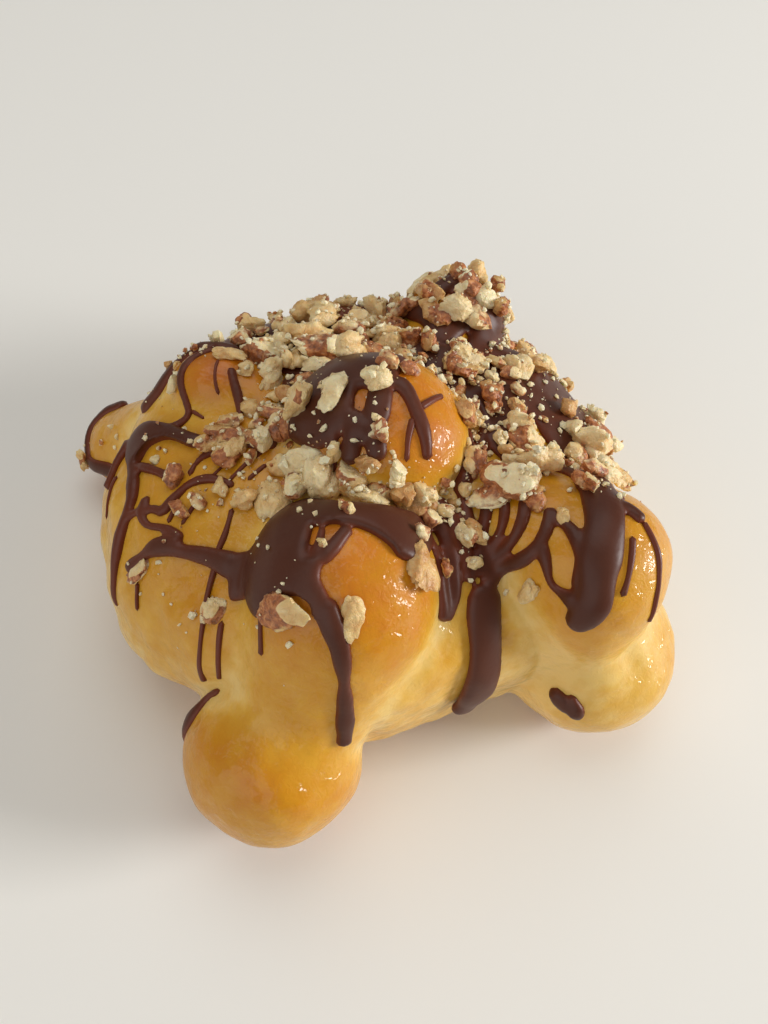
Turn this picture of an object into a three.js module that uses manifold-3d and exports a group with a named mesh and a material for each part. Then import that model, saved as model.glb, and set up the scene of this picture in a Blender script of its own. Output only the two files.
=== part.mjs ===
import * as THREE from "three";
import { mergeVertices } from "three/addons/utils/BufferGeometryUtils.js";
import Module from "manifold-3d";

// A pan de muerto: a round bun, two crossed dough bones with a ball on their crossing, lines of chocolate
// and chopped nuts, all fused into one solid. Millimetres, +Z up, the front towards -Y.
// The origin is the middle of the flat base.

// Driving dimensions. Places of the dough are measured from the point of the base under the crossing.
const crossing = new THREE.Vector3(3.67, 0, 0);
const bun = {
  x: -3.6, y: -1, widest: 17, halfX: 47, halfY: 41.2, turn: 22, rise: 25.8, drop: 23, squareness: 2.5,
};
const ball = { x: -2.5, y: -2.4, z: 42, radius: 13.7, halfHeight: 11.8 };
const rope = { reach: 8, height: 33, radius: 8.5 };

// The four arms of the bones: the bearing of the end knob, how far round the hump leans from it, and
// the reach, height and radius of the hump, the waist and the knob.
const arms = [
  { bearing: 257.5, lean: 5, lumps: [[27, 35, 14.5], [40.2, 21.4, 11.2], [47.1, 14.2, 14.2]] },
  { bearing: 335.7, lean: 0, lumps: [[37.2, 35.5, 12.6], [39, 25, 12], [44.2, 13.4, 15.3]] },
  { bearing: 169, lean: 0, lumps: [[31, 35.5, 8.2], [42, 19.7, 7.8], [54.2, 8.4, 8]] },
  { bearing: 79, lean: 0, lumps: [[33, 35.5, 9], [41, 19.5, 10], [47.5, 13, 13.5]] },
];

// Toppings are placed on a map of the crust, seen from the heart of the bun: degrees from straight up,
// split into a part to the right and a part to the back.
const heartHeight = 15;
const farOut = 95;

// Chocolate lines: the widths at both ends, and the places on the map that each runs through.
const chocolate = { proud: 1.6, sunk: 1.2, step: 4.5, sides: 6, wideSides: 10, wide: 8 };
const drizzle = [
  { widths: [16, 14], route: [[-26, 3], [-16, 0], [-9, -1]] },
  { widths: [2.4, 1.8], route: [[-3, -1], [2, -4], [6, -9], [9, -17]] },
  { widths: [2.6, 2.2], route: [[-6, -4], [-5, -12], [-3, -20]] },
  { widths: [4, 3], route: [[-34, 13], [-33, 2], [-30, -8], [-22, -14]] },
  { widths: [2.4, 1.6], route: [[-66, -13], [-63, -20], [-61, -30], [-64, -42], [-67, -50]] },
  { widths: [4, 2.6], route: [[-68, -7], [-60, -7], [-52, -11], [-44, -13], [-35, -13]] },
  { widths: [1.8, 1.8], route: [[-61, -30], [-53, -31], [-49, -25], [-40, -26]] },
  { widths: [1.8, 2], route: [[-57, -28], [-55, -33], [-48, -36], [-43, -41]] },
  { widths: [2, 3.8], route: [[-59, -42], [-52, -39], [-44, -41], [-33, -46]] },
  { widths: [1.8, 1.8], route: [[-51, 12], [-55, 3], [-56, -4], [-59, -7]] },
  { widths: [1.8, 1.8], route: [[-45, 8], [-44.5, 0], [-44, -6]] },
  { widths: [2.2, 2.2], route: [[-86, 24], [-93, 18], [-96, 9], [-93, 2]] },
  { widths: [1.8, 2], route: [[-34, -71.5], [-38, -74], [-41, -78], [-42, -83]] },
  { widths: [13, 12], route: [[-25, -38], [-20, -42], [-14, -43]] },
  { widths: [6, 5], route: [[-20, -33], [-8, -34], [4, -35], [10, -35]] },
  { widths: [3.6, 2.4], route: [[-10, -46], [-4, -55], [-2, -62], [0, -78]] },
  { widths: [1.8, 2.2], route: [[12, -33], [16, -40], [19, -47], [20.5, -53]] },
  { widths: [2.2, 2.2], route: [[15, -27], [20, -37], [22.5, -45], [21, -53]] },
  { widths: [4.6, 5], route: [[31, -41], [32, -48], [36, -58], [41, -76]] },
  { widths: [5.5, 6.5], route: [[29, -20], [31, -30], [31, -40]] },
  { widths: [2.2, 2], route: [[14, -24], [21, -30], [24, -36], [27, -42]] },
  { widths: [2.4, 2.8], route: [[35, -25], [38, -31], [41, -35], [46, -37]] },
  { widths: [2.2, 2.4], route: [[36, -21], [39, -26], [40, -33], [44, -37]] },
  { widths: [7, 5.5], route: [[44, 0], [42.5, -14], [43.5, -27], [47, -39]] },
  { widths: [2.4, 2.4], route: [[64.5, -56.5], [67, -56], [68, -58.5]] },
  { widths: [9, 8], route: [[20, 24], [32, 24], [36, 6]] },
  { widths: [10, 9], route: [[36, 36], [46, 32], [56, 27]] },
  { widths: [9, 7], route: [[8, 50], [20, 44], [24, 34]] },
  { widths: [2.4, 2.2], route: [[30, 20], [28, 6], [26, -6], [21, -20]] },
  { widths: [9, 8], route: [[-40, 25], [-28, 28], [-15, 28]] },
  { widths: [7, 6], route: [[-8, 30], [4, 30], [14, 24]] },
  { widths: [4, 3.5], route: [[-14, 48], [-6, 52], [2, 47]] },
  { widths: [4, 3], route: [[8, 54], [11, 66], [11, 78]] },
  { widths: [3.6, 2.8], route: [[-24, 46], [-32, 58], [-36, 72]] },
  { widths: [4.4, 3], route: [[36, 44], [44, 56], [48, 70]] },
  { widths: [3, 2.6], route: [[58, 26], [70, 30], [80, 34]] },
  { widths: [2.8, 2.4], route: [[-44, 30], [-56, 38], [-66, 46]] },
];

// Chopped nuts: the large ones where they lie, as right, back and length, and the rest by a golden-angle
// rule over an oval of the map, left out of the bare patches, given as right, back and radius.
const largeNuts = [
  [-29.5, -17.5, 7], [-19, -25, 8], [34.5, -14.5, 9], [45, 12, 8], [66, 22, 7.5], [-36, -54.5, 7.5],
  [-15.5, -50.5, 7], [-3, -49.5, 5.5], [7, -42, 8], [-32, 40, 7.5], [-37.5, -4, 7.5], [-53, 37, 6.5],
  [-33, -31, 7], [39.5, -38.5, 4], [-96, 9, 4.5], [-44, 22, 7], [-55, -43, 5], [-48, -7, 6.5],
];
const smallNuts = { count: 150, halfAcross: 62, halfBack: 54, middleBack: 21, shortest: 2.8, longest: 6.2 };
const nutsApart = 6;
const barePatches = [[8, -9, 11], [2, -47, 20], [-50, 2, 8], [45, -27, 13], [-60, -26, 12]];

// A chip of nut: how far its corners are pushed, its width and thickness as shares of its length, its lean
// in radians, and the share of its thickness that sits in the chocolate.
const chip = { inner: 0.8, jag: 0.45, width: [0.58, 0.83], thick: [0.42, 0.62], lean: 0.7, sink: 0.28 };

// How finely each shape is cut into flat faces.
const facets = {
  bunAround: 36, bunUp: 16, ballAround: 22, ballUp: 13, doughAround: 14, dome: 4, side: 4, trace: 40,
};

// Edges shorter than this are closed up where solids were joined, and those under the least length always,
// unless a triangle's facing would turn further than the cosine allows.
const sliver = { short: 0.45, least: 0.02, turn: 0.7, passes: 4 };
const seamGap = 1e-4;

const degree = Math.PI / 180;
const goldenAngle = 180 * (3 - Math.sqrt(5)) * degree;
const wasm = await Module();
wasm.setup();

// A closed geometry as a solid that can be joined and cut: seams merged, flat triangles at poles left out.
function solid(geometry) {
  const bare = new THREE.BufferGeometry().setAttribute("position", geometry.attributes.position);
  bare.setIndex(geometry.index);
  const merged = mergeVertices(bare, seamGap);
  const corners = merged.index.array;
  const kept = [];
  for (let k = 0; k < corners.length; k += 3) {
    const [a, b, c] = [corners[k], corners[k + 1], corners[k + 2]];
    if (a !== b && b !== c && c !== a) kept.push(a, b, c);
  }
  const vertProperties = new Float32Array(merged.attributes.position.array);
  return new wasm.Manifold(new wasm.Mesh({ numProp: 3, vertProperties, triVerts: new Uint32Array(kept) }));
}

// A solid as a geometry of loose triangles.
function geometryOf(body) {
  const mesh = body.getMesh();
  const geometry = new THREE.BufferGeometry();
  geometry.setAttribute("position", new THREE.BufferAttribute(new Float32Array(mesh.vertProperties), 3));
  geometry.setIndex(new THREE.BufferAttribute(new Uint32Array(mesh.triVerts), 1));
  return geometry;
}

// A repeatable draw between 0 and 1.
function draw(index, use) {
  const wave = Math.sin(index * 12.9898 + use * 78.233) * 43758.5453;
  return wave - Math.floor(wave);
}

// The bun: a turned shape with the profile of a squarish ellipse, higher above its widest level than below.
function bunSolid() {
  const profile = [];
  for (let k = 0; k <= facets.bunUp; k++) {
    const angle = (k / facets.bunUp - 0.5) * Math.PI;
    const out = Math.abs(Math.cos(angle)) ** (2 / bun.squareness);
    const up = Math.abs(Math.sin(angle)) ** (2 / bun.squareness);
    const level = angle < 0 ? -up * bun.drop : up * bun.rise;
    profile.push(new THREE.Vector2(k % facets.bunUp ? out : 0, level));
  }
  const geometry = new THREE.LatheGeometry(profile, facets.bunAround);
  geometry.rotateX(Math.PI / 2);
  geometry.scale(bun.halfX, bun.halfY, 1);
  geometry.rotateZ(bun.turn * degree);
  geometry.translate(bun.x, bun.y, bun.widest);
  return solid(geometry);
}

// The ball: a round lump, a little flatter than wide.
function ballSolid() {
  const geometry = new THREE.SphereGeometry(1, facets.ballAround, facets.ballUp);
  geometry.scale(ball.radius, ball.halfHeight, ball.radius);
  geometry.rotateX(Math.PI / 2);
  geometry.translate(ball.x, ball.y, ball.z);
  return solid(geometry);
}

// A length of dough between two round lumps: its radius eases from one to the other, and its ends are domes.
function doughLength(start, end) {
  const length = start.place.distanceTo(end.place);
  const profile = [];
  for (let k = 0; k <= facets.dome; k++) {
    const angle = (k / facets.dome - 1) * Math.PI / 2;
    profile.push(new THREE.Vector2(k ? start.radius * Math.cos(angle) : 0, start.radius * Math.sin(angle)));
  }
  for (let k = 1; k < facets.side; k++) {
    const along = k / facets.side;
    const radius = THREE.MathUtils.lerp(start.radius, end.radius, along * along * (3 - 2 * along));
    profile.push(new THREE.Vector2(radius, along * length));
  }
  for (let k = facets.dome; k >= 0; k--) {
    const angle = (1 - k / facets.dome) * Math.PI / 2;
    const out = k ? end.radius * Math.cos(angle) : 0;
    profile.push(new THREE.Vector2(out, length + end.radius * Math.sin(angle)));
  }
  const geometry = new THREE.LatheGeometry(profile, facets.doughAround);
  const heading = end.place.clone().sub(start.place).normalize();
  geometry.applyQuaternion(new THREE.Quaternion().setFromUnitVectors(new THREE.Vector3(0, 1, 0), heading));
  geometry.translate(start.place.x, start.place.y, start.place.z);
  return solid(geometry);
}

// One arm of a bone: lengths of dough from the crossing over the hump and the waist to the end knob.
function armSolids({ bearing, lean, lumps }) {
  const stations = [[rope.reach, rope.height, rope.radius], ...lumps].map(([reach, height, radius], k) => {
    const turn = (bearing + lean * [1, 1, 0.4, 0][k]) * degree;
    return { place: new THREE.Vector3(reach * Math.cos(turn), reach * Math.sin(turn), height), radius };
  });
  return stations.slice(1).map((station, k) => doughLength(stations[k], station));
}

// The dough, cut flat where it stood in the oven.
function crustSolid() {
  const whole = wasm.Manifold.union([bunSolid(), ballSolid(), ...arms.flatMap(armSolids)]);
  const ground = new THREE.BoxGeometry(4 * farOut, 4 * farOut, farOut).translate(0, 0, -farOut / 2);
  return whole.subtract(solid(ground));
}

const crust = crustSolid();
const crustMesh = new THREE.Mesh(geometryOf(crust), new THREE.MeshBasicMaterial());
const heart = new THREE.Vector3(0, 0, heartHeight);
const caster = new THREE.Raycaster();

// The point of the crust at a place on the map, with the way out from the heart and the crust's normal there.
function placeOn(right, back) {
  const polar = Math.hypot(right, back) * degree;
  const bearing = Math.atan2(back, right);
  const level = Math.sin(polar);
  const out = new THREE.Vector3(level * Math.cos(bearing), level * Math.sin(bearing), Math.cos(polar));
  caster.set(heart.clone().addScaledVector(out, farOut), out.clone().negate());
  const { point, face } = caster.intersectObject(crustMesh)[0];
  return { point, out, normal: face.normal.clone() };
}

// A chocolate line: a turned rod with round ends, laid along its route, its section spread over the crust.
function lineSolid({ widths, route }) {
  const path = new THREE.CatmullRomCurve3(route.map(([right, back]) => new THREE.Vector3(right, back, 0)));
  const trace = path.getSpacedPoints(facets.trace).map((at) => placeOn(at.x, at.y).point);
  const length = trace.slice(1).reduce((sum, at, k) => sum + at.distanceTo(trace[k]), 0);
  const rings = Math.max(6, Math.round(length / chocolate.step));
  const sides = Math.max(...widths) > chocolate.wide ? chocolate.wideSides : chocolate.sides;
  const profile = [];
  for (let k = 0; k <= rings; k++) profile.push(new THREE.Vector2(k % rings ? 1 : 0, k));
  const geometry = new THREE.LatheGeometry(profile, sides);
  const place = geometry.attributes.position;
  for (let k = 0; k < place.count; k++) {
    const along = place.getY(k) / rings;
    const width = THREE.MathUtils.lerp(widths[0], widths[1], along);
    const toEnd = Math.min(along, 1 - along) * length / (width / 2);
    const swell = Math.sqrt(1 - Math.max(0, 1 - toEnd) ** 2);
    const at = path.getPointAt(along);
    const heading = path.getTangentAt(along);
    const { point: middle, out: middleOut } = placeOn(at.x, at.y);
    const perDegree = middle.distanceTo(heart) * degree;
    const aside = place.getX(k) * swell * width / 2 / perDegree;
    const spot = placeOn(at.x + heading.y * aside, at.y - heading.x * aside);
    const lift = place.getZ(k) * swell * (place.getZ(k) > 0 ? chocolate.proud : chocolate.sunk);
    const on = spot.point.addScaledVector(middleOut, lift);
    place.setXYZ(k, on.x, on.y, on.z);
  }
  return solid(geometry);
}

// A piece of nut: an angular chip, longer than wide and flatter still, seated on the crust at its own slant.
function nutSolid(index, right, back, length) {
  const regular = new THREE.IcosahedronGeometry(0.5, 0).attributes.position;
  const geometry = mergeVertices(new THREE.BufferGeometry().setAttribute("position", regular), seamGap);
  const corner = geometry.attributes.position;
  for (let k = 0; k < corner.count; k++) {
    const push = chip.inner + chip.jag * draw(index, 10 + k);
    corner.setXYZ(k, corner.getX(k) * push, corner.getY(k) * push, corner.getZ(k) * push);
  }
  const thick = length * THREE.MathUtils.lerp(...chip.thick, draw(index, 1));
  geometry.scale(length, length * THREE.MathUtils.lerp(...chip.width, draw(index, 2)), thick);
  geometry.rotateX((draw(index, 3) - 0.5) * chip.lean);
  geometry.rotateZ(draw(index, 4) * 2 * Math.PI);
  const { point, normal } = placeOn(right, back);
  geometry.applyQuaternion(new THREE.Quaternion().setFromUnitVectors(new THREE.Vector3(0, 0, 1), normal));
  const seat = point.addScaledVector(normal, chocolate.proud / 2 + thick * (0.5 - chip.sink));
  geometry.translate(seat.x, seat.y, seat.z);
  return solid(geometry);
}

// Every piece of nut: the large ones first, then the small ones that the rule leaves.
function nutSolids() {
  const laid = [...largeNuts];
  for (let k = 0; k < smallNuts.count; k++) {
    const out = Math.sqrt((k + 0.5) / smallNuts.count);
    const right = out * smallNuts.halfAcross * Math.cos(k * goldenAngle);
    const back = smallNuts.middleBack + out * smallNuts.halfBack * Math.sin(k * goldenAngle);
    const bare = barePatches.some(([x, y, radius]) => Math.hypot(right - x, back - y) < radius);
    const taken = largeNuts.some(([x, y]) => Math.hypot(right - x, back - y) < nutsApart);
    if (bare || taken) continue;
    const spread = draw(k, 5) ** 2;
    laid.push([right, back, THREE.MathUtils.lerp(smallNuts.shortest, smallNuts.longest, spread)]);
  }
  return laid.map(([right, back, length], k) => nutSolid(k, right, back, length));
}

// The outer skin of a solid: pockets that fusing seals are filled, and loose scraps dropped.
function outerSkin(body) {
  return body.decompose().sort((a, b) => b.volume() - a.volume())[0];
}

// Joins leave slivers. Each short edge is drawn in to one of its ends, wherever the skin stays closed, the
// base stays flat and no triangle turns over. The skin stays closed if the two ends share just the two
// corners across from the edge, besides themselves.
function closeSlivers(geometry) {
  const place = geometry.attributes.position;
  const at = (corner) => new THREE.Vector3().fromBufferAttribute(place, corner);
  const triangles = [];
  for (let k = 0; k < geometry.index.count; k += 3) {
    triangles.push([0, 1, 2].map((n) => geometry.index.getX(k + n)));
  }
  const touching = Array.from({ length: place.count }, () => new Set());
  triangles.forEach((triangle, k) => triangle.forEach((corner) => touching[corner].add(k)));
  const neighbours = (corner) => new Set([...touching[corner]].flatMap((k) => triangles[k]));
  const facing = (triangle) => new THREE.Triangle(...triangle.map(at)).getNormal(new THREE.Vector3());

  function mayClose(kept, lost) {
    const span = at(kept).distanceTo(at(lost));
    if (span > sliver.short || (at(lost).z < sliver.least && at(kept).z > sliver.least)) return false;
    const near = neighbours(kept);
    const shared = [...neighbours(lost)].filter((corner) => near.has(corner));
    if (shared.length !== 4) return false;
    const moved = [...touching[lost]].map((k) => triangles[k]).filter((triangle) => !triangle.includes(kept));
    return span < sliver.least || moved.every((triangle) => {
      const after = triangle.map((corner) => (corner === lost ? kept : corner));
      return facing(triangle).dot(facing(after)) > sliver.turn;
    });
  }

  function close(kept, lost) {
    for (const k of [...touching[lost]]) {
      const after = triangles[k].map((corner) => (corner === lost ? kept : corner));
      const gone = triangles[k].includes(kept);
      triangles[k].forEach((corner) => touching[corner].delete(k));
      triangles[k] = gone ? [] : after;
      triangles[k].forEach((corner) => touching[corner].add(k));
    }
  }

  for (let pass = 0; pass < sliver.passes; pass++) {
    for (let k = 0; k < triangles.length; k++) {
      for (let side = 0; side < 3 && triangles[k].length; side++) {
        const [kept, lost] = [triangles[k][side], triangles[k][(side + 1) % 3]];
        if (mayClose(kept, lost)) close(kept, lost);
        else if (mayClose(lost, kept)) close(lost, kept);
      }
    }
  }
  geometry.setIndex(triangles.flat());
  return geometry;
}

// All toppings fused to the crust.
function breadGeometry() {
  const fused = wasm.Manifold.union([crust, ...drizzle.map(lineSolid), ...nutSolids()]);
  const closed = closeSlivers(geometryOf(outerSkin(fused)));
  const geometry = geometryOf(outerSkin(solid(closed)));
  geometry.computeVertexNormals();
  return geometry;
}

const crustFinish = new THREE.MeshStandardMaterial({ color: 0xc9984b, roughness: 0.4, metalness: 0 });
const bread = new THREE.Mesh(breadGeometry(), crustFinish);
bread.name = "bread";
bread.position.copy(crossing);

const group = new THREE.Group();
group.add(bread);
export default group;
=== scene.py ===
# A pan de muerto: golden crust, drizzled chocolate, chopped nuts and crumbs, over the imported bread
import math

import bpy
import numpy as np
from mathutils import Matrix, Vector
from mathutils.bvhtree import BVHTree


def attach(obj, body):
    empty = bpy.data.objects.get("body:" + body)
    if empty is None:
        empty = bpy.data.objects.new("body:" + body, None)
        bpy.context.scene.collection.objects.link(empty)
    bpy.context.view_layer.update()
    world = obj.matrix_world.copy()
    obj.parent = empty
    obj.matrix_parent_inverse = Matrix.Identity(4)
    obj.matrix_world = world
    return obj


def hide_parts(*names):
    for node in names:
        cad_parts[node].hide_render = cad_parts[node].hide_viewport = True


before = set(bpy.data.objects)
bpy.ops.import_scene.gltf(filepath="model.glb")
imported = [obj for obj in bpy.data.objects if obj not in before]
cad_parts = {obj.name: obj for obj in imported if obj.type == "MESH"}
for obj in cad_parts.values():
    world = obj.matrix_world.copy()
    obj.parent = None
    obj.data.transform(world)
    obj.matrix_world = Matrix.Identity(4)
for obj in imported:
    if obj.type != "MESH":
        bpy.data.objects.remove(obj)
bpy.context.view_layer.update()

# Shapes are worked out in millimetres from the point of the base under the crossing of the bones
mm = 0.001
crossing = np.array([3.67, 0.0, 0.0])
heart = np.array([0.0, 0.0, 15.0])  # the map of the crust counts degrees from straight up, seen from here
farOut = 95.0  # beyond the whole bread
walkIn = {"rounds": 70, "share": 0.9}  # steps from far out to the crust, each a share of the distance left


# Small tools for arrays

# Eases from 0 at low to 1 at high
def ease(value, low, high):
    share = np.clip((value - low) / (high - low), 0, 1)
    return share * share * (3 - 2 * share)


# The lesser of two distances, rounded over a band as wide as soft
def softMin(a, b, soft):
    share = np.clip(0.5 + 0.5 * (b - a) / soft, 0, 1)
    return b + (a - b) * share - soft * share * (1 - share)


# Vectors divided by their own lengths
def unit(vectors):
    return vectors / np.maximum(np.linalg.norm(vectors, axis=-1, keepdims=True), 1e-9)


# Lumpy noise with a spread of about 1: waves of about one length run through space in seeded directions
def waves(places, length, seed, count=16):
    rng = np.random.default_rng(seed)
    ways = unit(rng.normal(size=(count, 3))) * rng.uniform(0.7, 1.4, (count, 1)) * 2 * np.pi / length
    return np.sin(places @ ways.T + rng.uniform(0, 2 * np.pi, count)).sum(-1) * math.sqrt(2 / count)


# Quads of a grid of rows, each row closed round
def ringFaces(rows, around):
    first = np.arange((rows - 1) * around).reshape(rows - 1, around)
    beside = np.roll(first, -1, 1)
    return np.stack([first, beside, beside + around, first + around], -1).reshape(-1, 4)


# The same, with triangles that close the first and the last row onto two more points
def closedFaces(rows, around):
    ring = np.arange(around)
    beside = np.roll(ring, -1)
    last = (rows - 1) * around
    start = np.stack([beside, ring, np.full(around, rows * around)], 1)
    end = np.stack([last + ring, last + beside, np.full(around, rows * around + 1)], 1)
    return ringFaces(rows, around), np.concatenate([start, end])


# Several grids of rings as one list of places and quads
def joinedRings(grids):
    starts = np.cumsum([0] + [grid.shape[0] * grid.shape[1] for grid in grids[:-1]])
    places = np.concatenate([grid.reshape(-1, 3) for grid in grids])
    return places, np.concatenate([ringFaces(*g.shape[:2]) + s for g, s in zip(grids, starts)])


# The mean of each corner's neighbours on a closed mesh of quads
def neighbourMean(places, quads):
    here, there = quads.ravel(), np.roll(quads, -1, 1).ravel()
    total = np.stack([np.bincount(here, places[there, k], len(places)) for k in range(3)], 1)
    return total / np.bincount(here, minlength=len(places))[:, None]


# Smooths without shrinking: each round moves towards the neighbours, then a little more away
def smoothed(places, quads, rounds, pull=0.5, push=-0.52):
    for _ in range(rounds):
        places = places + pull * (neighbourMean(places, quads) - places)
        places = places + push * (neighbourMean(places, quads) - places)
    return places


# Fills a mesh with its places in metres and faces given as arrays of quads and triangles
def fillMesh(mesh, places, faceSets):
    corners = np.concatenate([faces.ravel() for faces in faceSets]).astype(np.int32)
    sizes = np.concatenate([np.full(len(faces), faces.shape[1]) for faces in faceSets])
    mesh.vertices.add(len(places))
    mesh.vertices.foreach_set("co", np.ascontiguousarray(places, np.float32).ravel())
    mesh.loops.add(len(corners))
    mesh.loops.foreach_set("vertex_index", corners)
    mesh.polygons.add(len(sizes))
    mesh.polygons.foreach_set("loop_start", (np.cumsum(sizes) - sizes).astype(np.int32))
    mesh.polygons.foreach_set("use_smooth", np.ones(len(sizes), bool))
    mesh.update(calc_edges=True)


# Fuses overlapping closed surfaces into one skin of quads about as wide as voxel
def fused(grids, voxel):
    places, quads = joinedRings(grids)
    mesh = bpy.data.meshes.new("fusing")
    fillMesh(mesh, places, [quads])
    holder = bpy.data.objects.new("fusing", mesh)
    bpy.context.scene.collection.objects.link(holder)
    remesh = holder.modifiers.new("fuse", "REMESH")
    remesh.mode = "VOXEL"
    remesh.voxel_size = voxel
    skin = holder.evaluated_get(bpy.context.evaluated_depsgraph_get()).to_mesh()
    made = np.zeros(len(skin.vertices) * 3, np.float32)
    corners = np.zeros(len(skin.loops), np.int32)
    skin.vertices.foreach_get("co", made)
    skin.loops.foreach_get("vertex_index", corners)
    bpy.data.objects.remove(holder)
    bpy.data.meshes.remove(mesh)
    return made.reshape(-1, 3).astype(float), corners.reshape(-1, 4)


# Makes a finished piece that stands for the bread, with its values per corner
# Edges that turn by more than crisp degrees stay sharp
def makePiece(name, places, faceSets, finish, marks, crisp=180):
    mesh = bpy.data.meshes.new(name)
    fillMesh(mesh, (places + crossing) * mm, faceSets)
    for mark, values in marks.items():
        mesh.attributes.new(mark, "FLOAT", "POINT").data.foreach_set("value", values.astype(np.float32))
    mesh.set_sharp_from_angle(angle=math.radians(crisp))
    mesh.materials.append(finish)
    piece = bpy.data.objects.new(name, mesh)
    bpy.context.scene.collection.objects.link(piece)
    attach(piece, "root")
    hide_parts("bread")
    mesh.calc_loop_triangles()
    print(name, "has", len(mesh.loop_triangles), "triangles")


# Crust: the bun, the ball and the four arms of the bones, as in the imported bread
# Each lump of an arm is its reach, height and radius: rope at the crossing, hump, waist, end knob
dough = {
    "bun": {
        "centre": (-3.6, -1, 17), "halfX": 47, "halfY": 41.2, "turn": 22,
        "rise": 25.8, "drop": 23, "square": 2.5,
    },
    "ball": {"centre": (-2.5, -2.4, 42), "half": (13.7, 13.7, 11.8), "blend": 0.9},
    "rope": (8, 33, 8.5),
    "arms": [
        {"bearing": 257.5, "lean": 5, "lumps": [(27, 35, 14.5), (40.2, 21.4, 11.2), (47.1, 14.2, 14.2)]},
        {"bearing": 335.7, "lean": 0, "lumps": [(37.2, 35.5, 12.6), (39, 25, 12), (44.2, 13.4, 15.3)]},
        {"bearing": 169, "lean": 0, "lumps": [(31, 35.5, 8.2), (42, 19.7, 7.8), (54.2, 8.4, 8)]},
        {"bearing": 79, "lean": 0, "lumps": [(33, 35.5, 9), (41, 19.5, 10), (47.5, 13, 13.5)]},
    ],
    "leanShare": (1, 1, 0.4, 0),
    "blend": 1.4,  # how wide the creases between lumps are
    "baseRound": 2.0,  # rounding of the edge where it stood
    "voxel": 0.72,
    "relief": [(30, 0.35, 3), (11, 0.12, 4), (4.5, 0.03, 5)],  # wave length, height, seed
    "reliefFrom": (0.3, 6),  # heights between which the relief fades in
    "dents": [(64.5, -39, 2.6, 0.7), (67.5, -41, 2.2, 0.6)],  # place on the map, radius, depth
}


# Places and radii of an arm's lumps
def armLumps(arm):
    reach, height, radius = np.array([dough["rope"], *arm["lumps"]], float).T
    bearing = np.radians(arm["bearing"] + arm["lean"] * np.array(dough["leanShare"]))
    return np.stack([reach * np.cos(bearing), reach * np.sin(bearing), height], 1), radius


# Turned about the upright, by degrees
def turnedBy(places, angle):
    c, s = math.cos(math.radians(angle)), math.sin(math.radians(angle))
    return places @ np.array([[c, s, 0], [-s, c, 0], [0, 0, 1]])


# Distance from the bun, a squarish ellipse turned round: its scaled radius less 1, in its own size
def bunField(places):
    bun = dough["bun"]
    x, y, z = turnedBy(places - bun["centre"], -bun["turn"]).T
    across = ((x / bun["halfX"]) ** 2 + (y / bun["halfY"]) ** 2) ** (bun["square"] / 2)
    level = (np.abs(z) / np.where(z > 0, bun["rise"], bun["drop"])) ** bun["square"]
    return ((across + level) ** (1 / bun["square"]) - 1) * bun["drop"]


# Distance from a length of dough: from its middle line, less a radius that eases from end to end
def lengthField(places, start, end, startRadius, endRadius):
    line = end - start
    share = np.clip((places - start) @ line / (line @ line), 0, 1)
    radius = startRadius + (endRadius - startRadius) * share * share * (3 - 2 * share)
    return np.linalg.norm(places - start - share[:, None] * line, axis=1) - radius


# Distance from the whole crust: the lumps softly joined, and cut flat where it stood
def crustField(places):
    found = bunField(places)
    for arm in dough["arms"]:
        spots, radii = armLumps(arm)
        lengths = [lengthField(places, *spots[k:k + 2], *radii[k:k + 2]) for k in range(3)]
        found = softMin(found, np.minimum.reduce(lengths), dough["blend"])
    ball = dough["ball"]
    away = np.linalg.norm((places - ball["centre"]) / ball["half"], axis=1) - 1
    found = softMin(found, away * min(ball["half"]), ball["blend"])
    return -softMin(-found, places[:, 2], dough["baseRound"])


# The field's slope by central differences
def crustSlope(places, step=0.05):
    ways = np.eye(3) * step
    return np.stack([crustField(places + w) - crustField(places - w) for w in ways], 1) / (2 * step)


# Moves places onto the crust, or to a height above it, down the slope
def settled(places, height=0.0, rounds=4, leastSteep=0.05):
    for _ in range(rounds):
        slope = crustSlope(places)
        steep = np.maximum((slope ** 2).sum(1), leastSteep)
        places = places - ((crustField(places) - height) / steep)[:, None] * slope
    return places


# The outward ways of places on the map, given as degrees to the right and to the back
def waysOut(right, back):
    polar, bearing = np.radians(np.hypot(right, back)), np.arctan2(back, right)
    return np.stack([np.sin(polar) * np.cos(bearing), np.sin(polar) * np.sin(bearing), np.cos(polar)], 1)


# Places of the map on the crust, found by walking in from far out
def placesOn(right, back):
    out = waysOut(right, back)
    reach = np.full(len(out), farOut)
    for _ in range(walkIn["rounds"]):
        reach -= walkIn["share"] * crustField(heart + out * reach[:, None])
    return heart + out * reach[:, None]


# Height of the low relief: three lengths of waves, less round dents, fading out towards the base
def crustRelief(places):
    relief = sum(height * waves(places, length, seed) for length, height, seed in dough["relief"])
    right, back, radius, depth = np.array(dough["dents"]).T
    away = np.linalg.norm(places[:, None] - placesOn(right, back), axis=2)
    dents = (depth * np.exp(-(away / radius) ** 2)).sum(1)
    return (relief - dents) * ease(places[:, 2], *dough["reliefFrom"])


# A turned surface: rings of the given radii, at the given distances along a heading
def turnedRings(start, heading, out, along, around=36):
    aslant = (0.31, 0.52, 0.79)  # no arm runs this way
    heading = unit(heading)
    side = unit(np.cross(heading, aslant))
    turn = np.linspace(0, 2 * np.pi, around, endpoint=False)[:, None]
    ring = np.cos(turn) * side + np.sin(turn) * np.cross(heading, side)
    return start + along[:, None, None] * heading + out[:, None, None] * ring


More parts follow.
